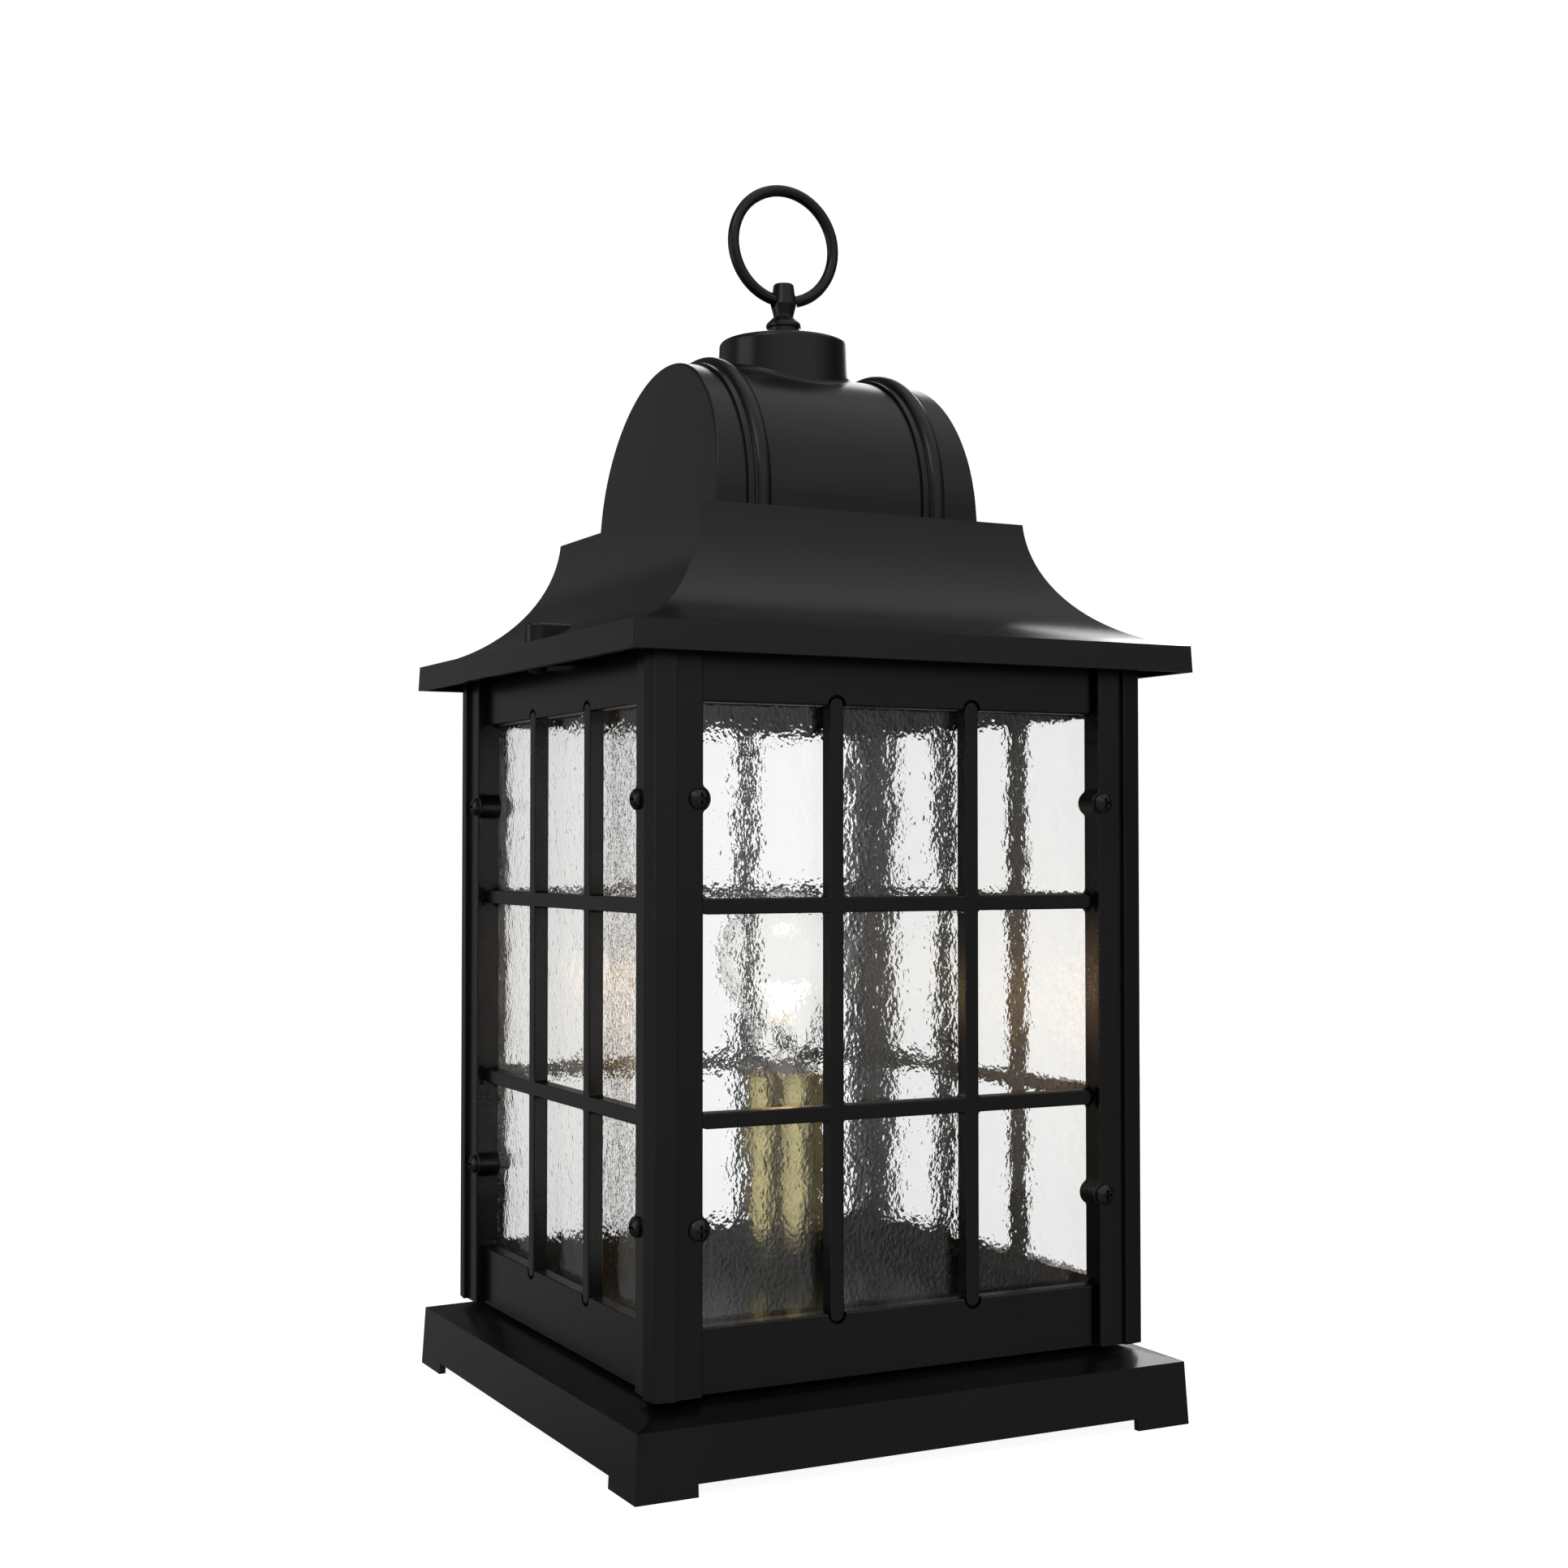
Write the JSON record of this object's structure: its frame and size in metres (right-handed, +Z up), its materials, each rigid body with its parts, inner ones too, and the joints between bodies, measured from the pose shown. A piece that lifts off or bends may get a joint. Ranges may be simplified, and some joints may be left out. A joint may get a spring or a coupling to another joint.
{
  "type": "lantern",
  "caption": "Square outdoor candle-style lantern: glazed cage on a footed base, coved lift-off roof with vault, swinging carry ring, and a lamp in a brass candle sleeve.",
  "frame": {"origin": "middle of the square that the feet stand on, at the height of their soles", "axes": "+Z up; -Y is the front pane's outward side, +X its right-hand side; the vault's arch runs along X"},
  "size_m": [0.2594, 0.2594, 0.5438],
  "materials": {
    "black_metal": "satin black powder coat",
    "seeded_glass": "clear, rippled and seeded",
    "black_screws": "black oxide",
    "satin_brass": "satin",
    "zinc_steel": "zinc plated",
    "socket_ceramic": "glazed porcelain",
    "socket_brass": "bright",
    "lamp_cap": "bright, screw thread",
    "lamp_solder": "dull solder",
    "lamp_glass": "clear, lit from inside",
    "stem_glass": "clear",
    "tungsten": "glowing wire"
  },
  "bodies": {
    "lantern": {"base": "black_metal", "bottom_frame": "black_metal", "top_frame": "black_metal", "post_front_left": "black_metal", "post_front_right": "black_metal", "post_back_right": "black_metal", "post_back_left": "black_metal", "stile_front_left": "black_metal", "stile_front_right": "black_metal", "stile_back_right": "black_metal", "stile_back_left": "black_metal", "grille_front": "black_metal", "grille_right": "black_metal", "grille_back": "black_metal", "grille_left": "black_metal", "glass_front": "seeded_glass", "glass_right": "seeded_glass", "glass_back": "seeded_glass", "glass_left": "seeded_glass", "panel_screws": "black_screws", "base_screws": "black_screws", "roof_screws": "black_screws", "sleeve": "satin_brass", "nipple": "zinc_steel", "nipple_nut": "zinc_steel", "socket_body": "socket_ceramic", "socket_shell": "socket_brass", "socket_contact": "socket_brass"},
    "roof": {"roof": "black_metal", "vault": "black_metal", "finial": "black_metal", "finial_nut": "zinc_steel"},
    "ring": {"ring": "black_metal"},
    "bulb": {"bulb_cap": "lamp_cap", "bulb_contact": "lamp_solder", "bulb_envelope": "lamp_glass", "bulb_stem": "stem_glass", "bulb_filament": "tungsten"}
  },
  "joints": [
    {"name": "roof_lift", "type": "slide", "parent": "lantern", "child": "roof", "axis": [0, 0, 1], "range_m": [0, 0.08]},
    {"name": "ring_swing", "type": "hinge", "parent": "roof", "child": "ring", "pos_m": [0, 0, 0.4906], "axis": [1, 0, 0], "range_deg": [-135, 135]},
    {"name": "bulb_lift", "type": "slide", "parent": "lantern", "child": "bulb", "axis": [0, 0, 1], "range_m": [0, 0.035]}
  ]
}
